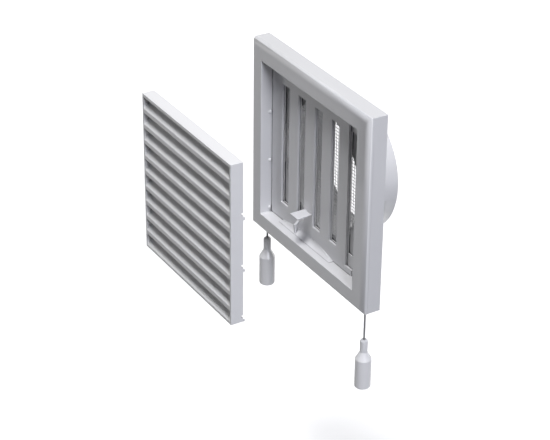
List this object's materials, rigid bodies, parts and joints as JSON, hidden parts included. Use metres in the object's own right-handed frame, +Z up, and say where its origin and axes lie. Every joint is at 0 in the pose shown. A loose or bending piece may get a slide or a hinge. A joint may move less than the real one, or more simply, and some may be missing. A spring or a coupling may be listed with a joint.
{
  "type": "louvered vent grille",
  "caption": "Square wall vent: rounded frame with slotted grid, sliding shutter on pull cords, insect screen, round duct spigot and clip-in louvre panel.",
  "frame": {"origin": "on the duct spigot's axis, in the plane of the wall behind the frame", "axes": "+X to the right seen from the room, +Y into the wall along the spigot, +Z up"},
  "size_m": [0.154, 0.1425, 0.2219],
  "materials": {
    "frame_plastic": "satin moulded white plastic",
    "shutter_plastic": "satin moulded white plastic",
    "panel_plastic": "satin moulded white plastic",
    "pull_plastic": "glossy turned or moulded white plastic",
    "screen_mesh": "fine woven net",
    "cord": "braided cord"
  },
  "bodies": {
    "frame": {"frame": "frame_plastic", "duct_spigot": "frame_plastic", "insect_screen": "screen_mesh"},
    "shutter": {"shutter": "shutter_plastic", "shutter_cords": "cord"},
    "louvre_panel": {"louvre_panel": "panel_plastic"},
    "left_pull": {"left_pull": "pull_plastic", "left_cord": "cord", "left_knot": "cord"},
    "right_pull": {"right_pull": "pull_plastic", "right_cord": "cord", "right_knot": "cord"}
  },
  "joints": [
    {"name": "shutter_slide", "type": "slide", "parent": "frame", "child": "shutter", "axis": [1, 0, 0], "range_m": [0, 0.01]},
    {"name": "left_pull_lift", "type": "slide", "parent": "frame", "child": "left_pull", "axis": [0, 0, 1], "range_m": [0, 0.01]},
    {"name": "right_pull_lift", "type": "slide", "parent": "frame", "child": "right_pull", "axis": [0, 0, 1], "range_m": [-0.01, 0]},
    {"name": "louvre_panel_slide", "type": "slide", "parent": "frame", "child": "louvre_panel", "axis": [0, 1, 0], "range_m": [0, 0.0953]}
  ],
  "couplings": [
    {"joint": "left_pull_lift", "follows": "shutter_slide", "ratio": 1},
    {"joint": "right_pull_lift", "follows": "shutter_slide", "ratio": -1}
  ]
}
